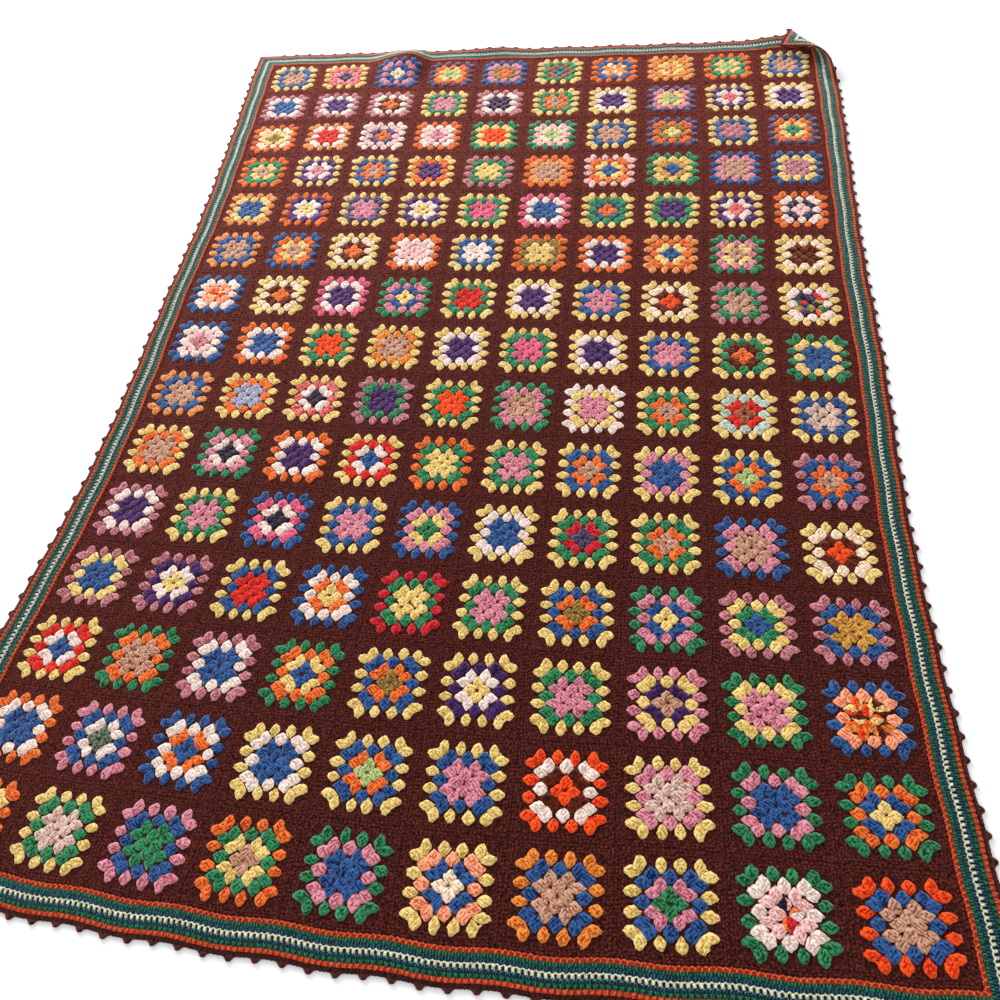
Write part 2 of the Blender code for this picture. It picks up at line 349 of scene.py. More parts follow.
class Yarn(Enum):
    """The yarns: for each, the letter that stands for it in the chart, and its sRGB colour."""

    PALE_PINK = ("A", "f8cac6")
    BLUE = ("B", "345c96")
    CREAM = ("C", "fce4c8")
    CRIMSON = ("D", "d62c38")
    LIGHT_GREEN = ("E", "b8c884")
    PEACH = ("F", "fdac86")
    GREEN = ("G", "368a5a")
    HOT_PINK = ("H", "e96e8e")
    BLUE_VIOLET = ("I", "584a70")
    TEAL = ("J", "2f6270")
    RED_ORANGE = ("K", "f8581e")
    LIGHT_ORANGE = ("L", "f0a460")
    MAUVE = ("M", "cc868e")
    NAVY = ("N", "1e1228")
    ORANGE = ("O", "f07c36")
    PINK = ("P", "df93a2")
    MUSTARD = ("Q", "d8a34c")
    RED = ("R", "e43226")
    CORAL = ("S", "e87874")
    TAN = ("T", "d0a086")
    PURPLE = ("U", "4a2462")
    OLIVE = ("V", "9c7c3c")
    WHITE = ("W", "f8e4da")
    RUSSET = ("X", "641c08")
    YELLOW = ("Y", "f3d68a")
    PALE_BLUE = ("Z", "b0b0c4")
    AMBER = ("a", "ee943e")
    BEIGE = ("b", "e4c4b6")
    GREY_GREEN = ("g", "66765f")
    MINT = ("m", "ccd8ca")
    TERRACOTTA = ("t", "b0603c")
    DARK_BROWN = ("d", "60261f")
    BORDER_ORANGE = ("o", "dc6a3a")
    BORDER_GREEN = ("n", "26765a")
    BORDER_TEAL = ("l", "1d5c6c")
    BORDER_CREAM = ("c", "e6e4cc")
    EDGING_BROWN = ("e", "45221e")

    def __init__(self, letter: str, colour: str) -> None:
        """Names a yarn's two values."""
        self.letter = letter
        self.colour = colour

    def number(self) -> int:
        """Gives the yarn's place in the list, which the faces of a workpiece store."""
        return list(Yarn).index(self)


YARN_OF_LETTER = {yarn.letter: yarn for yarn in Yarn}

# Yarns that change colour along their length: the digit that stands for each in the chart,
# and the letters of its colours
VARIEGATED = {"2": "OYR", "3": "NURQGNO", "4": "KYXa", "5": "NAADOW", "6": "CaL"}

# The squares as they are joined, the far row first. Each word is one square, and its letters
# are the yarns of its four coloured rounds, from the outermost to the first.
CHART = (
    "YBTT YSPN BPBC IOYE BPVO YGtJ OB66 LaYL OGYE YBTT",
    "MWBB MWUU MWXO YGPP MWNN YGOT YWUU IPYE YUWS YWUU",
    "OCYV LWRR WAIO OWAP GYKK GACE YBTT IOVY YBMM IOYG",
    "OGYT YUWP YBOT YOUU MGYY OLTT AOYB GYQB BPTT BYMM",
    "LYBB OUWY YIPP YUWY YGHH HWBB YGJO YGUU YUWS OWNA",
    "LBTT BOYT YCXO OWAA YBWW OVYY OWUU LOYB GPYT YCXX",
    "BWF2 YCXO HWUU GPBY YGRR YWUU YBPP YCXK MGTT YW33",
    "BWAM OWBB YGKK YaTT YWUU YGHH YWUU YBPP YGXO GYBB",
    "LBTT YOZZ YSWN MGUU YGKK GPTT WYPP YGOT YmRt YBbb",
    "YOTT GPWN OWUU YRWB OGYY YGPP YBOT YPBB YBOE MBOT",
    "MWUU YGPP BHWN YBPP BPYG YWBB YGDI YGOT BPTT YCXK",
    "MYBB MUWY YBRR BWOY DGYY YGPP YBOV GPBY MYGB MBQQ",
    "YRWB GOTT MWBB GOYB YBOV YUWY YGPP PYUT GYPP BF44",
    "OWBB PBWg BWOB YWBB YBOE YBPP KWXK YPbb GPBB GOBY",
    "OYBB YGbb PBGG OGYT GPBB YFBC aBTT YBPG GWA5 KBTT",
)


def linear_colour(code: str) -> tuple[float, float, float, float]:
    """Turns an sRGB hex colour into the linear one that a shader takes.

    Args:
        code: Six hex digits.

    Returns:
        Linear red, green, blue and an alpha of 1.
    """
    parts = [int(code[place : place + 2], 16) / 255 for place in (0, 2, 4)]
    linear = [p / 12.92 if p <= 0.04045 else ((p + 0.055) / 1.055) ** 2.4 for p in parts]
    return (*linear, 1.0)


def feed(node: bpy.types.Node, inputs: Mapping[int | str, object]) -> None:
    """Gives a shader node its values and links.

    Args:
        node: The node.
        inputs: A value, or a socket to link from, for each input by name or number.
    """
    for name, value in inputs.items():
        if isinstance(value, bpy.types.NodeSocket):
            node.id_data.links.new(value, node.inputs[name])
        else:
            node.inputs[name].default_value = value


def add_node(
    tree: bpy.types.NodeTree,
    kind: str,
    inputs: Mapping[int | str, object],
    output: int | str = 0,
    **settings: object,
) -> bpy.types.NodeSocket:
    """Adds one shader node.

    Args:
        tree: The material's node tree.
        kind: The end of Blender's name for the node.
        inputs: What feed gives it.
        output: Which of its outputs is wanted, by name or number.
        **settings: The node's own properties.

    Returns:
        That output.
    """
    node = tree.nodes.new(f"ShaderNode{kind}")
    for name, value in settings.items():
        setattr(node, name, value)
    feed(node, inputs)
    return node.outputs[output]


@dataclass(frozen=True)
class AcrylicYarn:
    """Acrylic double knitting yarn, spun soft and crocheted.

    Its fibres scatter light, so it is matt, with a pale bloom where it turns away from the
    eye. Its base colour carries painted shade: the small gaps between its loops and the points
    that lie deep among their neighbours are painted darker, and the loops' tops are left lit.
    """

    yarn: Yarn
    loop_size: float = 3.4  # mm across one visible loop
    loop_edge: tuple[float, float] = (0.48, 0.92)  # where the painted gap shade starts and is full
    # how dark the painted shade in the gaps gets
    gap_depth: float = 0.7
    fuzz_grain: float = 2.0  # mm, real fuzz is finer and is drawn this coarse so that it shows
    fuzz: float = 1.9  # how strongly it breaks up light and dark
    sunk: tuple[float, float] = (0.25, 0.85)  # depths where its painted shade starts and is full
    own: float = 0.25  # how much lighter one stitch can be than another
    shade: float = 0.2  # how much further all of it leans to the painted shade, for that
    # how bright the painted shade colour of the gaps is
    painted_shade_brightness: float = 0.6
    relief: float = 1.0  # mm
    relief_strength: float = 0.8
    fuzz_relief: float = 0.4  # how much the fuzz adds to it
    roughness: float = 0.9
    ior: float = 1.49  # acrylic
    gloss: float = 0.12  # loose fibres scatter most of it
    sheen: float = 1.0
    sheen_roughness: float = 0.4
    bloom_paleness: float = 0.3  # loose fibres are paler than the strand: 0 white, 1 alike

    def material(self) -> bpy.types.Material:
        """Makes the yarn's material, which reads how deep each stitch's points lie and paints
        shade into its base colour there and in the gaps between its loops.

        Returns:
            A material whose colour and relief follow the loops of the yarn.
        """
        made = bpy.data.materials.new(f"acrylic_yarn_crocheted_{self.yarn.name.lower()}")
        made.use_nodes = True
        tree = made.node_tree
        place = add_node(tree, "TexCoord", {}, "Object")
        stitch = add_node(tree, "Attribute", {}, "Vector", attribute_name="stitch")
        depth = add_node(tree, "SeparateXYZ", {0: stitch})
        own = depth.node.outputs[1]
        scale = 1 / (self.loop_size * MILLIMETRE)
        loops = add_node(tree, "TexVoronoi", {"Vector": place, "Scale": scale})
        scale = 1 / (self.fuzz_grain * MILLIMETRE)
        fuzz = add_node(tree, "TexNoise", {"Vector": place, "Scale": scale, "Detail": 1.0})
        smooth = {"interpolation_type": "SMOOTHSTEP"}
        # Painted shade in the gaps between the loops
        ends = {1: self.loop_edge[0], 2: self.loop_edge[1], 3: 1.0, 4: 1.0 - self.gap_depth}
        gap = add_node(tree, "MapRange", {0: loops, **ends}, **smooth)
        # Painted shade on points that lie deep among their neighbours
        ends = {1: self.sunk[0], 2: self.sunk[1], 3: 1.0, 4: 0.0}
        above = add_node(tree, "MapRange", {0: depth, **ends}, **smooth)
        lit = add_node(tree, "Math", {0: gap, 1: above}, operation="MULTIPLY")
        # Loose fibres catch the light here and there, painted as random light and dark spots, and
        # no two stitches are quite alike
        for chance, strength in ((fuzz, self.fuzz), (own, self.own)):
            terms = {0: chance, 1: strength, 2: lit}
            lit = add_node(tree, "Math", terms, operation="MULTIPLY_ADD")
        terms = {0: lit, 1: self.fuzz / 2 + self.shade}
        lit = add_node(tree, "Math", terms, operation="SUBTRACT", use_clamp=True)
        colour = linear_colour(self.yarn.colour)[:3]
        # The painted shade colour of the gaps: light that comes back out of a gap has met the yarn
        # twice
        painted_gap_shade = [part**2 * self.painted_shade_brightness for part in colour]
        terms = {0: lit, 6: (*painted_gap_shade, 1.0), 7: (*colour, 1.0)}
        shaded = add_node(tree, "Mix", terms, 2, data_type="RGBA")
        terms = {0: fuzz, 1: self.fuzz_relief, 2: gap}
        height = add_node(tree, "Math", terms, operation="MULTIPLY_ADD")
        distance = self.relief * MILLIMETRE
        terms = {"Strength": self.relief_strength, "Distance": distance, "Height": height}
        bloom = [(part / max(colour)) ** self.bloom_paleness for part in colour]
        feed(
            tree.nodes["Principled BSDF"],
            {
                "Base Color": shaded,
                "Normal": add_node(tree, "Bump", terms),
                "Roughness": self.roughness,
                "IOR": self.ior,
                "Specular IOR Level": self.gloss,
                "Sheen Weight": self.sheen,
                "Sheen Roughness": self.sheen_roughness,
                "Sheen Tint": (*bloom, 1.0),
            },
        )
        return made


# ---------- stitches


@dataclass(frozen=True)
class ClusterRow:
    """One cross row of a three-stitch cluster, the same on both sides of its middle.

    Attributes:
        along: Its share of the cluster's length.
        half_width: In millimetres.
        heights: At the middle and at each third of the half width, in millimetres.
        sunk: How deep the yarn lies under its neighbours there, from 0 to 1; painted as shade.
    """

    along: float
    half_width: float
    heights: tuple[float, float, float, float]
    sunk: tuple[float, float, float, float]


# Rows with pits beside the middle take turns with rows that have one in it. Each pit
# dips and is painted in shade.
TUFT_ROWS = (
    ClusterRow(0.00, 1.8, (-0.3, -0.3, -0.4, -0.6), (0.9, 0.9, 0.9, 0.9)),
    ClusterRow(0.15, 3.7, (0.7, 1.3, 1.0, -0.5), (0.8, 0.0, 0.2, 0.5)),
    ClusterRow(0.29, 6.2, (2.3, 0.8, 1.7, -0.6), (0.0, 1.0, 0.0, 0.4)),
    ClusterRow(0.43, 7.9, (1.2, 2.5, 1.8, -0.6), (0.9, 0.0, 0.2, 0.3)),
    ClusterRow(0.58, 8.1, (2.8, 0.9, 2.3, -0.6), (0.0, 1.0, 0.0, 0.3)),
    ClusterRow(0.73, 6.8, (1.4, 2.6, 1.8, -0.6), (0.7, 0.0, 0.3, 0.3)),
    ClusterRow(0.88, 4.6, (2.3, 1.4, 1.6, -0.6), (0.0, 0.7, 0.0, 0.3)),
    ClusterRow(1.00, 2.1, (0.3, 0.1, -0.2, -0.6), (0.2, 0.3, 0.2, 0.3)),
)

# The inner rounds' clusters are held down between those of the next round, so they end in
# a point
FAN_ROWS = (
    ClusterRow(0.00, 2.4, (-0.5, -0.5, -0.6, -0.6), (1.2, 1.2, 1.1, 0.9)),
    ClusterRow(0.14, 5.4, (0.5, 1.1, 1.0, -0.3), (0.9, 0.1, 0.1, 0.3)),
    ClusterRow(0.30, 7.6, (2.1, 0.9, 1.9, -0.2), (0.0, 1.0, 0.0, 0.2)),
    ClusterRow(0.46, 8.6, (1.0, 2.4, 2.0, -0.2), (0.8, 0.0, 0.4, 0.2)),
    ClusterRow(0.62, 8.4, (2.7, 0.9, 2.2, -0.4), (0.0, 1.0, 0.0, 0.2)),
    ClusterRow(0.76, 6.2, (1.3, 2.4, 1.4, -0.6), (0.7, 0.0, 0.2, 0.2)),
    ClusterRow(0.89, 3.7, (2.2, 1.3, 0.8, -0.6), (0.0, 0.5, 0.1, 0.3)),
    ClusterRow(1.00, 1.2, (0.4, 0.1, -0.2, -0.6), (0.2, 0.2, 0.2, 0.3)),
)


@dataclass(frozen=True)
class StitchForm:
    """The shape of one kind of stitch, on a length of 1 and at real width and height.

    Attributes:
        points: Rows of across, along and up, in metres but for along, a share of the length.
        sunk: How deep each point goes under its neighbours, from 0 to 1, painted as shade.
        faces: Rows of point numbers.
        posts: Which of a cluster's three stitches each face belongs to.
    """

    points: Array
    sunk: Array
    faces: Numbers
    posts: Numbers

    @staticmethod
    def cluster(rows: Sequence[ClusterRow]) -> "StitchForm":
        """Shapes three double crochets that fan out of one space.

        Args:
            rows: Their cross rows, from the foot up.

        Returns:
            A form with seven points in each row.
        """
        steps = range(-3, 4)
        wide = len(steps)
        points = [
            (step / 3 * row.half_width, row.along, row.heights[abs(step)])
            for row in rows
            for step in steps
        ]
        firsts = [row * wide + step for row in range(len(rows) - 1) for step in range(wide - 1)]
        return StitchForm(
            np.array(points) * (MILLIMETRE, 1.0, MILLIMETRE),
            np.array([row.sunk[abs(step)] for row in rows for step in steps]),
            np.array([(first, first + 1, first + wide + 1, first + wide) for first in firsts]),
            np.array([first % wide // 2 for first in firsts]),
        )

    @staticmethod
    def single(
        points: Sequence[tuple[float, float, float]], faces: Sequence[tuple[int, int, int]]
    ) -> "StitchForm":
        """Shapes a single strand or loop, sunk and painted in shade where it meets its seat.

        Args:
            points: Rows of across, along and up, on a width and a height of 1 mm.
            faces: Rows of point numbers.

        Returns:
            The form.
        """
        places = np.array(points) * (MILLIMETRE, 1.0, MILLIMETRE)
        # Its foot is painted in shade, its top left lit
        sunk = np.where(places[:, 2] > 0, 0.0, 1.0)
        return StitchForm(places, sunk, np.array(faces), np.zeros(len(faces), int))


FAN = StitchForm.cluster(FAN_ROWS)
TUFT = StitchForm.cluster(TUFT_ROWS)

# A short length of yarn that comes up, lies over and goes down again
STRAND = StitchForm.single(
    [(-0.5, 0, 0), (0.5, 0, 0), (0.5, 1, 0), (-0.5, 1, 0), (0, 0.25, 1), (0, 0.75, 1)],
    [(0, 1, 4), (1, 5, 4), (1, 2, 5), (2, 3, 5), (3, 4, 5), (3, 0, 4)],
)

# The small pointed hump of one loop
LOOP = StitchForm.single(
    [(0, 0, 0), (0.5, 0.5, 0), (0, 1, 0), (-0.5, 0.5, 0), (0, 0.5, 1)],
    [(0, 1, 4), (1, 2, 4), (2, 3, 4), (3, 0, 4)],
)


def add_object(name: str, data: bpy.types.ID) -> bpy.types.Object:
    """Adds an object to the scene.

    Args:
        name: What it is called.
        data: Its mesh, lamp or camera.

    Returns:
        The object.
    """
    made = bpy.data.objects.new(name, data)
    bpy.context.scene.collection.objects.link(made)
    return made


@dataclass
class Workpiece:
    """A piece of crochet while it is being worked: stitches collected into one mesh."""

    name: str
    cloth: ClothLay
    seed: int
    points: list[Array] = field(default_factory=list)
    stitch: list[Array] = field(default_factory=list)
    faces: list[Numbers] = field(default_factory=list)
    yarns: list[Numbers] = field(default_factory=list)
    count: int = 0
    painted_shade_by_chance: float = 0.3

    def __post_init__(self) -> None:
        """Starts the piece's own seeded chance."""
        self.chance = np.random.default_rng(self.seed)

    def add(self, flat: Array, stitch: Array, faces: Numbers, yarns: Numbers) -> None:
        """Adds faces in cloth coordinates.

        Args:
            flat: Rows of u, v and w.
            stitch: Rows of each point's depth, painted as shade, and of its stitch's own chance.
            faces: Rows of point numbers, from 0 at the first row of `flat`.
            yarns: The yarn of each face, by its place in Yarn.
        """
        self.points.append(flat)
        self.stitch.append(stitch)
        self.faces.append(faces + self.count)
        self.yarns.append(yarns)
        self.count += len(flat)

    def work(
        self,
        form: StitchForm,
        base: Array,
        tip: Array,
        yarns: Yarn | Numbers,
        width: float | Array,
        rise: float | Array,
        seat: float,
        unevenness: float = 0.0,
    ) -> None:
        """Works many stitches of one form at once.

        Args:
            form: The stitch's shape.
            base: Rows of u and v where each stitch starts.
            tip: Rows of u and v where it ends.
            yarns: Their yarn, or the number of each stitch's or each of its three posts' own.
            width: What the form's width is multiplied by.
            rise: What its height is multiplied by; below 0 it hangs from the underside.
            seat: The height w that it stands on, in metres.
            unevenness: How far its points stray, in metres. It also gives some of them more or
                less painted shade than others, as if they lay deeper among their neighbours.
        """
        many = len(base)
        length = np.linalg.norm(tip - base, axis=1)
        along = (tip - base) / length[:, None]
        across = np.stack([along[:, 1], -along[:, 0]], axis=1)
        wide, high = (np.broadcast_to(value, many) for value in (width, rise))
        x, y, z = (
            part * scale[:, None]
            for part, scale in zip(form.points.T, (wide, length, high), strict=True)
        )
        sunk = np.broadcast_to(form.sunk, x.shape)
        if unevenness:
            x = x + self.chance.normal(0, unevenness, x.shape)
            y = y + self.chance.normal(0, unevenness, y.shape)
            z = z + self.chance.normal(0, unevenness, z.shape)
            # Painted shade that differs from point to point by chance
            deeper = self.chance.normal(0, self.painted_shade_by_chance, sunk.shape)
            sunk = np.clip(sunk + deeper, 0.0, 1.0)
        u, v = (
            base[:, axis, None] + across[:, axis, None] * x + along[:, axis, None] * y
            for axis in (0, 1)
        )
        own = np.broadcast_to(self.chance.random(many)[:, None], x.shape)
        stitch = np.stack([sunk, own], axis=2)
        faces = form.faces if np.min(high) > 0 else form.faces[:, ::-1]
        first = (np.arange(many) * len(form.points))[:, None, None]
        if isinstance(yarns, Yarn):
            yarns = np.full(many, yarns.number())
        if yarns.ndim == 1:
            yarns = np.repeat(yarns[:, None], 3, axis=1)
        self.add(
            np.stack([u, v, seat + z], axis=2).reshape(-1, 3),
            stitch.reshape(-1, 2),
            (faces[None] + first).reshape(-1, faces.shape[1]),
            yarns[:, form.posts].reshape(-1),
        )

    def finish(self, finishes: Finishes) -> bpy.types.Object:
        """Lays the stitches where the cloth lies and makes them one object.

        Args:
            finishes: The material of each yarn.

        Returns:
            The finished object, smooth shaded, with a slot for each yarn that it uses.
        """
        points = self.cloth.lay(np.concatenate(self.points))
        mesh = bpy.data.meshes.new(self.name)
        sizes = np.concatenate([np.full(len(f), f.shape[1]) for f in self.faces])
        corners = np.concatenate([f.ravel() for f in self.faces])
        mesh.vertices.add(len(points))
        mesh.vertices.foreach_set("co", points.astype(np.float32).ravel())
        mesh.loops.add(len(corners))
        mesh.loops.foreach_set("vertex_index", corners.astype(np.int32))
        mesh.polygons.add(len(sizes))
        mesh.polygons.foreach_set("loop_start", (np.cumsum(sizes) - sizes).astype(np.int32))
        mesh.polygons.foreach_set("use_smooth", np.ones(len(sizes), bool))
        used, places = np.unique(np.concatenate(self.yarns), return_inverse=True)
        mesh.polygons.foreach_set("material_index", places.astype(np.int32))
        known = list(Yarn)
        for number in used:
            mesh.materials.append(finishes[known[number]])
        # Each point's depth, which the material paints as shade, and its stitch's own chance
        attribute = mesh.attributes.new("stitch", "FLOAT2", "POINT")
        stitch = np.concatenate(self.stitch).astype(np.float32)
        attribute.data.foreach_set("vector", stitch.ravel())
        mesh.update(calc_edges=True)
        mesh.validate()
        made = add_object(self.name, mesh)
        LOG.info("%s: %d faces, %d yarns", self.name, len(sizes), len(used))
        return made

    def stand_in(self, finishes: Finishes, slot: str) -> bpy.types.Object:
        """Finishes the piece and stands it for the solid that it is named after.

        Args:
            finishes: The material of each yarn.
            slot: The solid's material slot; not used.

        Returns:
            The finished object.
        """
        made = self.finish(finishes)
        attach(made, BODY)
        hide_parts(self.name.removesuffix("_crochet"))
        return made


def square_centre(row: int, column: int) -> Array:
    """Gives the middle of a square.

    Args:
        row: Its row, from 0 at the far end.
        column: Its column, from 0 on the left.

    Returns:
        Its u and v.
    """
    u = (column + 0.5) * PITCH - HALF_WIDTH
    return np.array([u, HALF_LENGTH - (row + 0.5) * PITCH])


def all_round(points: Array) -> Array:
    """Repeats what is on one side of a square on all four.

    Args:
        points: Rows of u and v from the square's middle.

    Returns:
        Those rows, and then the same after one, two and three quarter turns.
    """
    turned = [points]
    for _ in range(3):
        turned.append(np.stack([-turned[-1][:, 1], turned[-1][:, 0]], axis=1))
    return np.concatenate(turned)


# ---------- the squares


@dataclass
class SquareRow:
    """One row of ten joined squares: their coloured rounds, brown rounds and seams."""

    row: int
    cloth: ClothLay
    round_reach: tuple[float, ...] = (0.0185, 0.0280, 0.0384, 0.0496)
    round_width: tuple[float, ...] = (0.90, 0.84, 0.94, 0.87)
    round_rise: tuple[float, ...] = (0.9, 1.0, 1.0, 1.1)
    cluster_pitch: float = 0.0210
    cluster_length: float = 0.0180
    cluster_seat: float = 0.0034
    cluster_stray: float = 0.0008
    cluster_unevenness: float = 0.00042
    corner_foot_in: float = 0.0007
    corner_tip_out: float = 0.0006
    corner_spread: float = 1.03
    eye_radius: float = 0.0012
    twist: float = 1.2  # degrees
    chain_width: float = 3.4
    chain_rise: float = 1.7
    chain_in: float = 0.0108
    chain_reach: float = 0.0030
    chain_sunk: float = 0.0007
    brown_seat: float = 0.0026
    brown_columns: tuple[float, ...] = (0.0502, 0.0539, 0.0574)
    brown_rises: tuple[float, ...] = (1.5, 1.6, 2.4)
    brown_stitch: float = 0.0048
    brown_reach: float = 0.62  # of a stitch, to each side
    brown_lean: float = 0.0007
    brown_width: float = 4.4
    seam_reach: float = 0.42
    seam_width: float = 2.4
    seam_rise: float = 0.5
    chain_stray: float = 0.0004
    brown_stray: float = 0.00035
    seam_stray: float = 0.00025
    width_chance: tuple[float, float] = (0.92, 1.08)
    rise_chance: tuple[float, float] = (0.9, 1.15)
    brown_width_chance: tuple[float, float] = (0.85, 1.15)
    brown_rise_chance: tuple[float, float] = (0.7, 1.2)

    def __post_init__(self) -> None:
        """Starts the row's piece, and finds the middle and the yarns of each square."""
        self.piece = Workpiece(f"square_row_{self.row + 1:02d}_crochet", self.cloth, self.row + 1)
        words = CHART[self.row].split()
        self.squares = [(square_centre(self.row, place), word) for place, word in enumerate(words)]

    def cluster_places(self) -> tuple[Array, Array, Numbers]:
        """Places the forty clusters of one square.

        Returns:
            Rows of where each starts, rows of where it ends, and its round from 0.
        """
        base = []
        tip = []
        rounds = []
        for number, reach in enumerate(self.round_reach):
            for place in range(number + 1):
                x = (place - number / 2) * self.cluster_pitch
                if number == 0:
                    side_base, side_tip = (0.0, self.eye_radius), (0.0, reach)
                elif place in (0, number):
                    space = abs(x) - self.corner_foot_in
                    side_base = (math.copysign(space, x), space)
                    side_tip = (x * self.corner_spread, reach + self.corner_tip_out)
                else:
                    side_base, side_tip = (x, reach - self.cluster_length), (x, reach)
                base.append(side_base)
                tip.append(side_tip)
                rounds.append(number)
        return all_round(np.array(base)), all_round(np.array(tip)), np.tile(rounds, 4)

    def post_yarns(self, word: str, rounds: Numbers) -> Numbers:
        """Gives each cluster's three posts their yarns.

        Args:
            word: The square's four letters in the chart, the outermost round first.
            rounds: The round of each cluster, from 0.

        Returns:
            Rows of three yarn numbers.
        """
        yarns = np.zeros((len(rounds), 3), int)
        for number, letter in enumerate(reversed(word)):
            inside = rounds == number
            letters = VARIEGATED.get(letter, letter)
            colours = np.array([YARN_OF_LETTER[one].number() for one in letters])
            # A colour lasts for about two stitches, then changes
            changes = np.arange(3 * np.count_nonzero(inside)) // 2
            yarns[inside] = colours[changes % len(colours)].reshape(-1, 3)
        return yarns

    def work_clusters(self) -> None:
        """Works the four coloured rounds of every square in the row."""
        base, tip, rounds = self.cluster_places()
        widths = np.array(self.round_width)[rounds]
        rises = np.array(self.round_rise)[rounds]
        last = rounds == len(self.round_reach) - 1
        for centre, word in self.squares:
            twist = self.piece.chance.normal(0, math.radians(self.twist))
            cosine, sine = math.cos(twist), math.sin(twist)
            turn = np.array([[cosine, sine], [-sine, cosine]])
            stray = self.piece.chance.normal(0, self.cluster_stray, (2, len(base), 2))
            starts = centre + (base + stray[0]) @ turn
            ends = centre + (tip + stray[1]) @ turn
            yarns = self.post_yarns(word, rounds)
            for form, kind in ((FAN, ~last), (TUFT, last)):
                many = np.count_nonzero(kind)
                self.piece.work(
                    form,
                    starts[kind],
                    ends[kind],
                    yarns[kind],
                    width=widths[kind] * self.piece.chance.uniform(*self.width_chance, many),
                    rise=rises[kind] * self.piece.chance.uniform(*self.rise_chance, many),
                    seat=self.cluster_seat,
                    unevenness=self.cluster_unevenness,
                )

    def work_corner_chains(self) -> None:
        """Works the chain across each corner of the last round, between its two clusters."""
        last = len(self.round_reach) - 1
        low, high = (
            self.round_reach[last] - self.chain_in + reach
            for reach in (-self.chain_reach, self.chain_reach)
        )
        starts = all_round(np.array([(low, high)]))
        ends = all_round(np.array([(high, low)]))
        for centre, word in self.squares:
            stray = centre + self.piece.chance.normal(0, self.chain_stray, (2, len(starts), 2))
            self.piece.work(
                STRAND,
                starts + stray[0],
                ends + stray[1],
                self.post_yarns(word, np.full(len(starts), last))[:, 0],
                width=self.chain_width,
                rise=self.chain_rise,
                seat=self.cluster_seat - self.chain_sunk,
            )

    def work_brown_round(self) -> None:
        """Works the dark brown fifth round, whose loops lie along the square's sides."""
        base = []
        tip = []
        rises = []
        for number, distance in enumerate(self.brown_columns):
            many = round(2 * distance / self.brown_stitch)
            odd = number % 2
            middles = ((np.arange(many) + 0.5 + 0.25 * odd) / many * 2 - 1) * distance
            lean = self.brown_lean if odd else -self.brown_lean
            reach = self.brown_stitch * self.brown_reach
            start = np.stack([middles - reach, np.full(many, distance - lean)], axis=1)
            end = np.stack([middles + reach, np.full(many, distance + lean)], axis=1)
            base.append(all_round(start))
            tip.append(all_round(end))
            rises.append(np.full(4 * many, self.brown_rises[number]))
        starts = np.concatenate(base)
        ends = np.concatenate(tip)
        many = len(starts)
        for centre, _ in self.squares:
            stray = centre + self.piece.chance.normal(0, self.brown_stray, (2, many, 2))
            widths = self.piece.chance.uniform(*self.brown_width_chance, many)
            heights = self.piece.chance.uniform(*self.brown_rise_chance, many)
            self.piece.work(
                LOOP,
                starts + stray[0],
                ends + stray[1],
                Yarn.DARK_BROWN,
                width=widths * self.brown_width,
                rise=heights * np.concatenate(rises),
                seat=self.brown_seat,
                unevenness=self.brown_stray,
            )

    def work_seams(self) -> None:
        """Joins the squares: one loop after another along each seam."""
        many = round(PITCH / self.brown_stitch)
        steps = (np.arange(many) + 0.5) * PITCH / many
        far = square_centre(self.row, 0)[1] + PITCH / 2
        middles = []
        along = []
        for column in range(1, COLUMNS):
            u = column * PITCH - HALF_WIDTH
            middles += [(u, far - step) for step in steps]
            along += [(0.0, 1.0)] * many
        if self.row < ROWS - 1:
            for column in range(COLUMNS):
                u = column * PITCH - HALF_WIDTH
                middles += [(u + step, far - PITCH) for step in steps]
                along += [(1.0, 0.0)] * many
        reach = np.array(along) * self.brown_stitch * self.seam_reach
        stray = self.piece.chance.normal(0, self.seam_stray, (2, len(middles), 2))
        self.piece.work(
            LOOP,
            np.array(middles) - reach + stray[0],
            np.array(middles) + reach + stray[1],
            Yarn.DARK_BROWN,
            width=self.seam_width,
            rise=self.seam_rise,
            seat=self.brown_seat,
        )

    def build(self, finishes: Finishes) -> bpy.types.Object:
        """Works the row and stands it for its solid.

        Args:
            finishes: The material of each yarn.

        Returns:
            The row's crochet.
        """
        self.work_clusters()
        self.work_corner_chains()
        self.work_brown_round()
        self.work_seams()
        return self.piece.stand_in(finishes, "dark_brown_yarn")


# ---------- border and edging


class Side(Enum):
    """The blanket's four sides, in the order in which the border is worked round it."""

    FAR = "far"
    RIGHT = "right"
    NEAR = "near"
    LEFT = "left"

    def half_length(self) -> float:
        """Half of the panel's side that this side of the border is worked on."""
        return HALF_WIDTH if self in (Side.FAR, Side.NEAR) else HALF_LENGTH

    def place(self, along: Array, outward: Array | float) -> Array:
        """Turns places along this side and outwards from the panel into u and v.

        Args:
            along: How far from the side's middle, clockwise seen from above.
            outward: How far out from the panel's edge.

        Returns:
            Rows of u and v.
        """
        along, outward = np.broadcast_arrays(along, outward)
        if self is Side.FAR:
            u, v = along, HALF_LENGTH + outward
        elif self is Side.RIGHT:
            u, v = HALF_WIDTH + outward, -along
        elif self is Side.NEAR:
            u, v = -along, -HALF_LENGTH - outward
        else:
            u, v = -HALF_WIDTH - outward, along
        return np.stack([u, v], axis=1)

    def spaced(self, outward: float, pitch: float) -> tuple[Array, float]:
        """Spaces stitches evenly along this side, from mitre to mitre.

        Args:
            outward: How far out from the panel's edge they are.
            pitch: About how far apart they are.

        Returns:
            How far each is from the side's middle, and their pitch.
        """
        half = self.half_length() + outward
        many = round(2 * half / pitch)
        pitch = 2 * half / many
        return (np.arange(many) + 0.5) * pitch - half, pitch


@dataclass(frozen=True)
class Strand:
    """One strand of a border stitch: shares of its pitch along, and millimetres outwards."""

    start_along: float
    start_out: float
    end_along: float
    end_out: float
    width: float
    rise: float


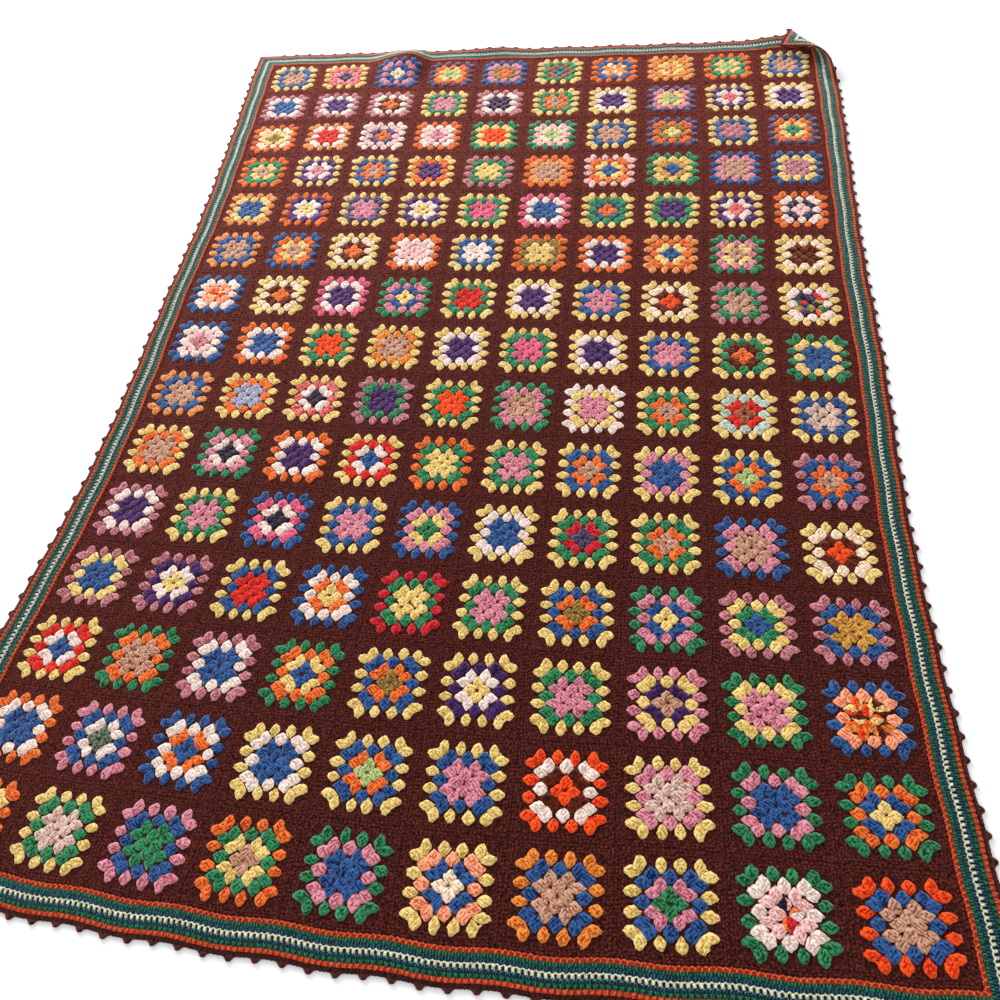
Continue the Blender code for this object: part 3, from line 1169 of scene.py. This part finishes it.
class BorderStitch(Enum):
    """How one of the border's rounds shows its loops, outwards from the round's middle."""

    ARCH = (
        Strand(0.00, -2.6, -0.50, -0.4, 2.1, 2.1),
        Strand(0.00, -2.6, 0.34, -0.2, 2.1, 2.1),
        Strand(0.44, -1.6, 0.48, 2.8, 3.2, 1.9),
    )
    POST = (
        Strand(0.0, -2.8, 0.05, 2.6, 3.2, 1.6),
        Strand(0.46, -2.6, 0.50, 1.8, 2.4, 1.2),
    )
    CHAIN = (
        Strand(-0.05, -3.6, 0.02, 2.4, 3.0, 1.5),
        Strand(0.38, -3.0, 0.52, 2.4, 2.4, 1.2),
    )
    SLANT = (
        Strand(0.06, -2.4, -0.08, 3.2, 4.2, 2.4),
        Strand(0.06, -0.8, 0.52, -3.1, 2.1, 2.2),
        Strand(0.44, -3.1, 0.90, -0.9, 2.1, 2.0),
    )
    TOOTH = (
        Strand(-0.24, -2.5, -0.04, 2.8, 2.5, 2.1),
        Strand(0.24, -2.5, 0.04, 2.8, 2.5, 2.1),
    )


# The border's rounds from the panel outwards
BORDER = (
    (Yarn.BORDER_ORANGE, BorderStitch.ARCH),
    (Yarn.BORDER_GREEN, BorderStitch.POST),
    (Yarn.BORDER_TEAL, BorderStitch.CHAIN),
    (Yarn.BORDER_CREAM, BorderStitch.SLANT),
    (Yarn.BORDER_TEAL, BorderStitch.CHAIN),
    (Yarn.BORDER_GREEN, BorderStitch.TOOTH),
    (Yarn.BORDER_ORANGE, BorderStitch.TOOTH),
)


# The loops that show on the underside: shares of their pitch, and millimetres
UNDER_REACH = 0.55
UNDER_WIDTH = 5.4
UNDER_RISE = 0.95


@dataclass
class Border:
    """One side of the striped border: seven rounds of single crochet on both faces."""

    side: Side
    cloth: ClothLay
    stitch_pitch: float = 0.0068
    top_seat: float = 0.0030
    under_seat: float = 0.0010
    under_lean: float = 0.0008
    dot_round: float = 4.25
    dot_along: float = 0.22
    dot_reach: float = 0.0008
    dot_lift: float = 0.0007
    dot_width: float = 1.5
    dot_rise: float = 1.0
    stray: float = 0.0003
    under_stray: float = 0.00025
    dot_stray: float = 0.0002
    width_chance: tuple[float, float] = (0.9, 1.1)
    rise_chance: tuple[float, float] = (0.85, 1.15)

    def __post_init__(self) -> None:
        """Starts the side's piece."""
        name = self.side.value
        self.piece = Workpiece(f"border_{name}_crochet", self.cloth, 100 + len(name))

    def work_round(self, number: int) -> None:
        """Works one round from mitre to mitre.

        Args:
            number: The round, from 0 at the panel.
        """
        yarn, style = BORDER[number]
        outward = GAP + (number + 0.5) * ROUND_WIDTH
        middles, pitch = self.side.spaced(outward, self.stitch_pitch)
        many = len(middles)
        for strand in style.value:
            stray = self.piece.chance.normal(0, self.stray, (4, many))
            self.piece.work(
                STRAND,
                self.side.place(
                    middles + strand.start_along * pitch + stray[0],
                    outward + strand.start_out * MILLIMETRE + stray[1],
                ),
                self.side.place(
                    middles + strand.end_along * pitch + stray[2],
                    outward + strand.end_out * MILLIMETRE + stray[3],
                ),
                yarn,
                width=strand.width * self.piece.chance.uniform(*self.width_chance, many),
                rise=strand.rise * self.piece.chance.uniform(*self.rise_chance, many),
                seat=self.top_seat,
            )
        stray = self.piece.chance.normal(0, self.under_stray, (4, many))
        lean = self.under_lean
        self.piece.work(
            LOOP,
            self.side.place(middles - UNDER_REACH * pitch + stray[0], outward - lean + stray[1]),
            self.side.place(middles + UNDER_REACH * pitch + stray[2], outward + lean + stray[3]),
            yarn,
            width=UNDER_WIDTH,
            rise=-UNDER_RISE,
            seat=self.under_seat,
        )

    def work_cream_dots(self) -> None:
        """Lets the cream yarn show as a dot in the teal round under each of its stitches."""
        outward = GAP + self.dot_round * ROUND_WIDTH
        middles, pitch = self.side.spaced(outward, self.stitch_pitch)
        middles += self.dot_along * pitch
        middles += self.piece.chance.normal(0, self.dot_stray, len(middles))
        self.piece.work(
            LOOP,
            self.side.place(middles, outward - self.dot_reach),
            self.side.place(middles, outward + self.dot_reach),
            Yarn.BORDER_CREAM,
            width=self.dot_width,
            rise=self.dot_rise,
            seat=self.top_seat + self.dot_lift,
        )

    def build(self, finishes: Finishes) -> bpy.types.Object:
        """Works the side and stands it for its solid.

        Args:
            finishes: The material of each yarn.

        Returns:
            The side's crochet.
        """
        for number in range(BORDER_ROUNDS):
            self.work_round(number)
        self.work_cream_dots()
        return self.piece.stand_in(finishes, "border_yarn")


@dataclass
class PicotEdging:
    """One side of the dark edging: single crochet with a small picot every 30 mm."""

    side: Side
    cloth: ClothLay
    stitch_pitch: float = 0.0050
    top_seat: float = 0.0026
    under_seat: float = 0.0011
    under_lean: float = 0.0006
    foot_in: float = 0.0027
    tip_out: float = 0.0029
    picot_height: float = 0.0021
    picot_spread: float = 0.0034
    bead_rings: int = 3
    bead_sides: int = 6
    stray: float = 0.00025
    width: float = 2.4
    rise: float = 1.2
    strands: tuple[tuple[float, float], ...] = ((-0.4, 0.0), (0.4, 0.05))  # shares of a pitch
    beads: tuple[tuple[float, float, tuple[float, float, float]], ...] = (
        (0.95, 0.0009, (0.0042, 0.0022, 0.0017)),
        (-0.95, 0.0009, (0.0042, 0.0022, 0.0017)),
        (0.0, 0.0024, (0.0034, 0.0045, 0.0019)),
    )
    bead_chance: float = 0.12

    def __post_init__(self) -> None:
        """Starts the side's piece."""
        name = self.side.value
        self.piece = Workpiece(f"edging_{name}_crochet", self.cloth, 200 + len(name))

    def work_round(self) -> None:
        """Works the round under the picots, on both faces."""
        outward = EDGING_START + EDGING_WIDTH / 2
        middles, pitch = self.side.spaced(outward, self.stitch_pitch)
        for start, end in self.strands:
            stray = self.piece.chance.normal(0, self.stray, (2, len(middles)))
            self.piece.work(
                STRAND,
                self.side.place(middles + start * pitch + stray[0], outward - self.foot_in),
                self.side.place(middles + end * pitch + stray[1], outward + self.tip_out),
                Yarn.EDGING_BROWN,
                width=self.width,
                rise=self.rise,
                seat=self.top_seat,
            )
        self.piece.work(
            LOOP,
            self.side.place(middles - UNDER_REACH * pitch, outward - self.under_lean),
            self.side.place(middles + UNDER_REACH * pitch, outward + self.under_lean),
            Yarn.EDGING_BROWN,
            width=UNDER_WIDTH,
            rise=-UNDER_RISE,
            seat=self.under_seat,
        )

    def bead(self, middle: Array, size: Sequence[float], along: Array) -> None:
        """Adds one closed, rounded loop of a picot.

        Args:
            middle: Its u, v and w.
            size: Half its length, width and height.
            along: The unit direction of its length in u and v.
        """
        sides = self.bead_sides
        rings = np.arange(1, self.bead_rings + 1) / (self.bead_rings + 1) * math.pi
        turns = np.arange(sides) / sides * 2 * math.pi
        lengthwise = np.repeat(np.cos(rings), sides)
        sideways = np.outer(np.sin(rings), np.cos(turns)).ravel()
        upwards = np.outer(np.sin(rings), np.sin(turns)).ravel()
        unit = np.stack([lengthwise, sideways, upwards], axis=1)
        unit = np.concatenate([[(1.0, 0.0, 0.0)], unit, [(-1.0, 0.0, 0.0)]])
        length, width, height = (unit * size).T
        across = np.array([along[1], -along[0]])
        flat = middle[:2] + length[:, None] * along + width[:, None] * across
        last = len(unit) - 1
        faces = []
        for turn in range(sides):
            after = (turn + 1) % sides
            faces.append((0, 1 + turn, 1 + after))
            for one in range(1, last - sides, sides):
                two = one + sides
                faces.append((one + turn, two + turn, two + after))
                faces.append((one + turn, two + after, one + after))
            faces.append((last - sides + turn, last, last - sides + after))
        own = np.full(len(unit), self.piece.chance.random())
        # The bead's sides are painted in shade, its top and ends left lit
        self.piece.add(
            np.column_stack([flat, middle[2] + height]),
            np.stack([np.abs(unit[:, 1]), own], axis=1),
            np.array(faces),
            np.full(len(faces), Yarn.EDGING_BROWN.number()),
        )

    def work_picots(self) -> None:
        """Works the picots: three loops each, drawn together into a small point."""
        middles, _ = self.side.spaced(0.0, PICOT_PITCH)
        inner, outer = self.side.place(np.zeros(2), np.array([0.0, 1.0]))
        out = outer - inner
        beside = np.array([out[1], -out[0]])
        for foot in self.side.place(middles, EDGING_END):
            for turned, reach, size in self.beads:
                angle = turned + self.piece.chance.normal(0, self.bead_chance)
                spot = foot + out * reach + beside * turned * self.picot_spread
                along = out * math.cos(angle) - beside * math.sin(angle)
                self.bead(np.array([*spot, self.picot_height]), size, along)

    def build(self, finishes: Finishes) -> bpy.types.Object:
        """Works the side and stands it for its solid.

        Args:
            finishes: The material of each yarn.

        Returns:
            The side's crochet.
        """
        self.work_round()
        self.work_picots()
        return self.piece.stand_in(finishes, "edging_yarn")


# ---------- the ground


@dataclass
class Ground:
    """The closed sheet of yarn between and under the stitches, from edge to edge.

    Its top is painted in shade. In the panel it is dark brown: the yarn of the brown round,
    and under the coloured rounds a dark sheet that stands for the shade between their clusters.
    """

    cloth: ClothLay
    square_lines: tuple[float, ...] = (0.0, 0.0177, 0.0277, 0.0379, 0.0487)
    fine_from_u: float = 0.44
    fine_from_v: float = 0.70
    finest: float = 0.0060
    panel_top: float = 0.0030
    panel_under: float = 0.0002
    border_top: float = 0.0032
    border_under: float = 0.0009
    panel_painted_shade: float = 0.9
    border_sunk: float = 1.0

    def lines(self, squares: int, fine_from: float) -> Array:
        """Gives the grid's lines in one direction.

        Args:
            squares: How many squares the panel has in that direction.
            fine_from: Where the cloth starts to bend and its lines lie closer.

        Returns:
            Sorted places, from one outer edge to the other.
        """
        half = squares * PITCH / 2
        places = {0.0}
        for number in range(squares):
            middle = (number + 0.5) * PITCH - half
            places |= {middle + line for line in self.square_lines}
            places |= {middle - line for line in self.square_lines}
            places |= {middle - PITCH / 2, middle + PITCH / 2}
        for number in range(BORDER_ROUNDS + 1):
            outward = half + GAP + number * ROUND_WIDTH
            places |= {-outward, outward}
        places |= {-half - EDGING_END, half + EDGING_END}
        ordered = sorted({round(place, 6) for place in places})
        fine = [ordered[0]]
        for place in ordered[1:]:
            step = place - fine[-1]
            parts = math.ceil(step / self.finest) if place > fine_from else 1
            fine += [fine[-1] + step * (part + 1) / parts for part in range(parts)][:-1]
            fine.append(place)
        return np.array(fine)

    def band(self, places: Array, half: float) -> Numbers:
        """Says which round of the border each place is in: 0 in the panel, 8 in the edging."""
        outward = (np.abs(places) - half - GAP) / ROUND_WIDTH
        return np.clip(np.ceil(outward), 0, BORDER_ROUNDS + 1).astype(int)

    def face_yarns(self, u: Array, v: Array, under: bool) -> Numbers:
        """Chooses the yarn of each face of one side of the sheet.

        Args:
            u: The faces' middles across the cloth.
            v: Their middles along it.
            under: Whether it is the underside, where the rounds' yarns show flat.

        Returns:
            The yarn number of each face.
        """
        bands = np.maximum(self.band(u, HALF_WIDTH), self.band(v, HALF_LENGTH))
        # On the top, the panel is dark brown: real under the brown round, and under the coloured
        # rounds a dark sheet standing for the shade between their clusters
        yarns = np.full(len(u), Yarn.DARK_BROWN.number())
        for number, (yarn, _) in enumerate(BORDER):
            if yarn is Yarn.BORDER_CREAM and not under:
                yarn = Yarn.BORDER_TEAL
            yarns[bands == number + 1] = yarn.number()
        yarns[bands > BORDER_ROUNDS] = Yarn.EDGING_BROWN.number()
        if under:
            columns = np.clip(((u + HALF_WIDTH) / PITCH).astype(int), 0, COLUMNS - 1)
            rows = np.clip(((HALF_LENGTH - v) / PITCH).astype(int), 0, ROWS - 1)
            off_u = np.abs(u - ((columns + 0.5) * PITCH - HALF_WIDTH))
            off_v = np.abs(v - (HALF_LENGTH - (rows + 0.5) * PITCH))
            rings = np.searchsorted(self.square_lines[1:], np.maximum(off_u, off_v))
            words = [line.split() for line in CHART]
            for place in np.flatnonzero((bands == 0) & (rings < 4)):
                letter = words[rows[place]][columns[place]][3 - rings[place]]
                letter = VARIEGATED.get(letter, letter)[0]
                yarns[place] = YARN_OF_LETTER[letter].number()
        return yarns

    def build(
        self,
        finishes: Finishes,
        stitches: Sequence[bpy.types.Object],
        floor: bpy.types.Object,
    ) -> bpy.types.Object:
        """Args:
            finishes: The material of each yarn.
            stitches: The pieces worked on it; not used.
            floor: What it lies on; not used.

        Returns:
            The sheet.
        """
        u_lines = self.lines(COLUMNS, self.fine_from_u)
        v_lines = self.lines(ROWS, self.fine_from_v)
        u, v = (grid.ravel() for grid in np.meshgrid(u_lines, v_lines))
        outside = (np.abs(u) > HALF_WIDTH) | (np.abs(v) > HALF_LENGTH)
        many = len(u)
        grid = np.arange(many).reshape(len(v_lines), -1)
        corners = (grid[:-1, :-1], grid[:-1, 1:], grid[1:, 1:], grid[1:, :-1])
        top = np.stack([corner.ravel() for corner in corners], axis=1)
        middle_u = (u[top[:, 0]] + u[top[:, 2]]) / 2
        middle_v = (v[top[:, 0]] + v[top[:, 2]]) / 2
        rim = np.concatenate([grid[0], grid[1:, -1], grid[-1, -2::-1], grid[-2:0:-1, 0]])
        after = np.roll(rim, -1)
        edge = np.stack([after, rim, rim + many, after + many], axis=1)
        piece = Workpiece("blanket_ground", self.cloth, 300)
        above = np.where(outside, self.border_top, self.panel_top)
        under = np.where(outside, self.border_under, self.panel_under)
        flat = np.concatenate([np.stack([u, v, w], axis=1) for w in (above, under)])
        stitch = np.full((2 * many, 2), 0.5)
        # The sheet's top gets painted shade: deep in the panel and full in the border
        stitch[:many, 0] = np.where(outside, self.border_sunk, self.panel_painted_shade)
        faces = np.concatenate([top, top[:, ::-1] + many, edge])
        yarns = np.concatenate(
            [
                self.face_yarns(middle_u, middle_v, under=False),
                self.face_yarns(middle_u, middle_v, under=True),
                np.full(len(edge), Yarn.EDGING_BROWN.number()),
            ]
        )
        piece.add(flat, stitch, faces, yarns)
        made = piece.finish(finishes)
        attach(made, BODY)
        return made


# ---------- the studio


def rotation(degrees: float, axis: str) -> Matrix:
    """Gives a turn about one axis."""
    return Matrix.Rotation(math.radians(degrees), 4, axis)


@dataclass
class Studio:
    """A pale floor, soft light from above and the camera."""

    camera_place: tuple[float, float, float] = (0.2264, -0.9673, 1.0575)
    camera_swing: float = 14.40
    camera_lean: float = 33.12
    camera_roll: float = -9.41
    camera_lens: float = 30.01
    camera_sensor: float = 36.0
    camera_clip: float = 0.01
    floor_size: float = 9.0
    floor_colour: str = "f6f6f6"
    floor_roughness: float = 0.9
    sky: float = 0.92
    panel_power: float = 230.0
    panel_size: float = 2.4
    panel_place: tuple[float, float, float] = (-2.4, 2.9, 1.5)
    panel_lean: float = 66.0
    panel_swing: float = 40.0

    def build_floor(self) -> bpy.types.Object:
        """Lays a plain painted floor, matt so that it gives no glare.

        Returns:
            The floor, which isn't part of the blanket.
        """
        half = self.floor_size / 2
        corners = [(-half, -half, 0), (half, -half, 0), (half, half, 0), (-half, half, 0)]
        mesh = bpy.data.meshes.new("floor")
        mesh.from_pydata(corners, [], [(0, 1, 2, 3)])
        paint = bpy.data.materials.new("emulsion_paint_rolled")
        paint.use_nodes = True
        shader = paint.node_tree.nodes["Principled BSDF"]
        shader.inputs["Base Color"].default_value = linear_colour(self.floor_colour)
        shader.inputs["Roughness"].default_value = self.floor_roughness
        mesh.materials.append(paint)
        floor = add_object("floor", mesh)
        return floor

    def build_camera(self) -> None:
        """Stands the camera over the near end, looking down along the blanket."""
        camera = add_object("camera", bpy.data.cameras.new("camera"))
        camera.data.lens = self.camera_lens
        camera.data.sensor_width = self.camera_sensor
        camera.data.clip_start = self.camera_clip
        aim = rotation(self.camera_swing, "Z") @ rotation(self.camera_lean, "X")
        aim = aim @ rotation(self.camera_roll, "Z")
        camera.matrix_world = Matrix.Translation(self.camera_place) @ aim
        bpy.context.scene.camera = camera

    def build_light(self) -> None:
        """Lights the room evenly, with one wide panel beyond the far left corner."""
        world = bpy.data.worlds.new("studio")
        world.use_nodes = True
        background = world.node_tree.nodes["Background"]
        background.inputs["Color"].default_value = (1.0, 1.0, 1.0, 1.0)
        background.inputs["Strength"].default_value = self.sky
        bpy.context.scene.world = world
        lamp = bpy.data.lights.new("panel", "AREA")
        lamp.size = self.panel_size
        lamp.energy = self.panel_power
        aim = rotation(self.panel_swing, "Z") @ rotation(-self.panel_lean, "X")
        add_object("panel", lamp).matrix_world = Matrix.Translation(self.panel_place) @ aim
        bpy.context.scene.view_settings.view_transform = "Standard"


def main() -> None:
    """Builds the blanket piece by piece."""
    logging.basicConfig(level=logging.INFO, format="%(name)s: %(message)s")
    studio = Studio()
    studio.build_camera()
    studio.build_light()
    floor = studio.build_floor()
    plied = {yarn: AcrylicYarn(yarn) for yarn in Yarn}
    for yarn in (Yarn.BORDER_ORANGE, Yarn.BORDER_GREEN, Yarn.BORDER_TEAL):
        plied[yarn] = AcrylicYarn(yarn, bloom_paleness=0.1)
    # The browns are fuzzier, and get less painted shade on their deep points
    for yarn in (Yarn.DARK_BROWN, Yarn.EDGING_BROWN):
        plied[yarn] = AcrylicYarn(
            yarn, bloom_paleness=0.8, fuzz=2.2, fuzz_grain=3.0, sunk=(0.25, 1.3)
        )
    finishes = {yarn: finish.material() for yarn, finish in plied.items()}
    cloth = ClothLay()
    stitches = [SquareRow(row, cloth).build(finishes) for row in range(ROWS)]
    stitches += [Border(side, cloth).build(finishes) for side in Side]
    stitches += [PicotEdging(side, cloth).build(finishes) for side in Side]
    Ground(cloth).build(finishes, stitches, floor)


if __name__ == "__main__":
    main()
